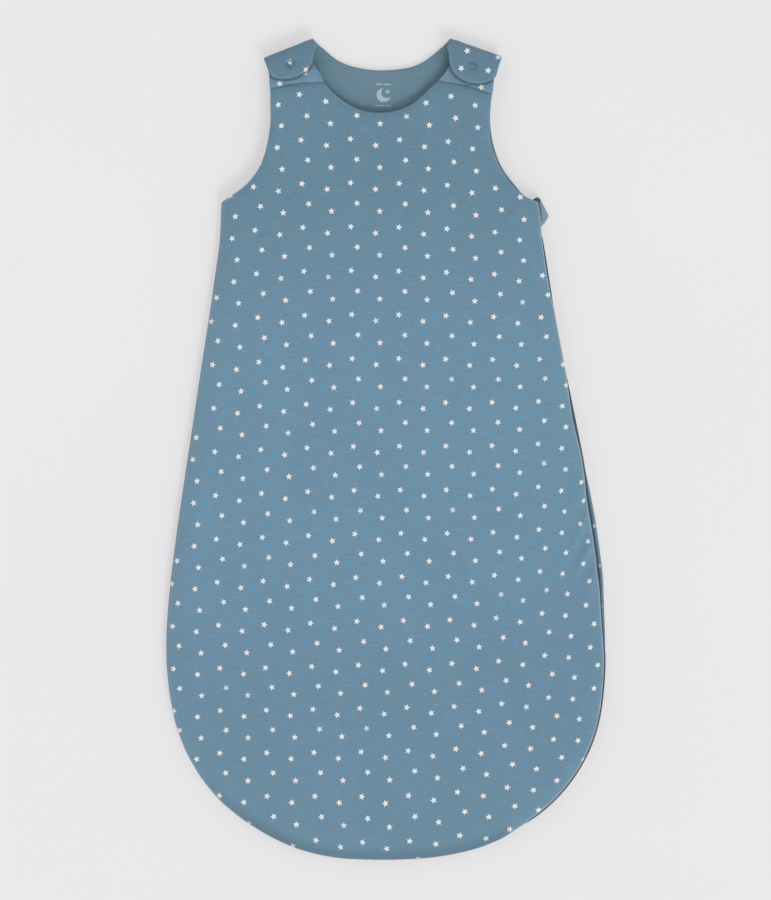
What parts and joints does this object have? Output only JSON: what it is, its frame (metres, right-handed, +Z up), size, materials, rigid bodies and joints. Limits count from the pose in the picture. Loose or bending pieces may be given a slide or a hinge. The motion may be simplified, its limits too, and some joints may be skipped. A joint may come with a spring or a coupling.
{
  "type": "baby sleeping bag",
  "caption": "Sleeveless quilted baby sleeping bag lying flat, with fold-over shoulder tabs on press studs and a side zip round the bottom corner.",
  "frame": {"origin": "middle of the bag's outline, on the surface that the back lies on", "axes": "+X across the bag towards the zip side, +Y towards the neck, +Z up through the thickness, out of the front"},
  "size_m": [0.4823, 0.8992, 0.0264],
  "materials": {
    "jersey_print": "printed cotton jersey, matt, pale blue with small ivory stars",
    "jersey_strap": "cotton jersey, matt, pale blue",
    "lining": "plain cotton jersey, matt, pale blue",
    "wadding": "white polyester wadding",
    "zip_tape": "woven polyester tape",
    "zip_coil": "nylon coil",
    "zip_metal": "satin metal",
    "snap_lacquer": "lacquered metal ring",
    "snap_metal": "nickel finish",
    "label_satin": "satin ribbon, blank"
  },
  "bodies": {
    "root": {"front_outer": "jersey_print", "front_wadding": "wadding", "front_lining": "lining", "back_outer": "jersey_print", "back_wadding": "wadding", "back_lining": "lining", "side_seam": "jersey_strap", "zip_tape_back": "zip_tape", "zip_coil_back": "zip_coil", "zip_top_stop_back": "zip_metal", "zip_bottom_stop": "zip_metal", "zip_garage": "jersey_strap", "zip_guard": "lining", "care_label": "label_satin", "front_strap_left": "jersey_strap", "front_strap_right": "jersey_strap", "back_strap_left": "jersey_strap", "back_strap_right": "jersey_strap", "shoulder_fold_left": "jersey_strap", "shoulder_fold_right": "jersey_strap", "snap_stud_left": "snap_metal", "snap_stud_right": "snap_metal", "snap_stud_ring_left": "snap_metal", "snap_stud_ring_right": "snap_metal"},
    "front_flap": {"flap_outer": "jersey_print", "flap_wadding": "wadding", "flap_lining": "lining", "zip_tape_front": "zip_tape", "zip_coil_front": "zip_coil", "zip_top_stop_front": "zip_metal"},
    "tab_left": {"shoulder_tab_left": "jersey_strap", "snap_ring_left": "snap_lacquer", "snap_socket_left": "snap_metal"},
    "tab_right": {"shoulder_tab_right": "jersey_strap", "snap_ring_right": "snap_lacquer", "snap_socket_right": "snap_metal"},
    "zip_slider": {"zip_slider": "zip_metal"},
    "zip_pull": {"zip_pull": "zip_metal"}
  },
  "joints": [
    {"name": "tab_left_open", "type": "hinge", "parent": "root", "child": "tab_left", "pos_m": [-0.13566, 0.4316, 0.01395], "axis": [-0.9301, -0.3673, 0], "range_deg": [0, 175], "deforming": ["shoulder_fold_left"]},
    {"name": "tab_right_open", "type": "hinge", "parent": "root", "child": "tab_right", "pos_m": [0.1286, 0.43326, 0.01395], "axis": [-0.9435, 0.3314, 0], "range_deg": [0, 175], "deforming": ["shoulder_fold_right"]},
    {"name": "flap_open", "type": "hinge", "parent": "root", "child": "front_flap", "pos_m": [0.1189, 0, 0.0223], "axis": [0, -1, 0], "range_deg": [0, 170], "deforming": ["zip_tape_front", "zip_coil_front"]},
    {"name": "zip_slide", "type": "slide", "parent": "root", "child": "zip_slider", "axis": [0.1681, -0.9858, 0], "range_m": [0, 0.371]},
    {"name": "pull_swing", "type": "hinge", "parent": "zip_slider", "child": "zip_pull", "pos_m": [0.16707, 0.25442, 0.01095], "axis": [0, 0, 1], "range_deg": [0, 120]}
  ],
  "couplings": [
    {"joint": "zip_slide", "follows": "flap_open", "m_per_rad": 0.125}
  ]
}
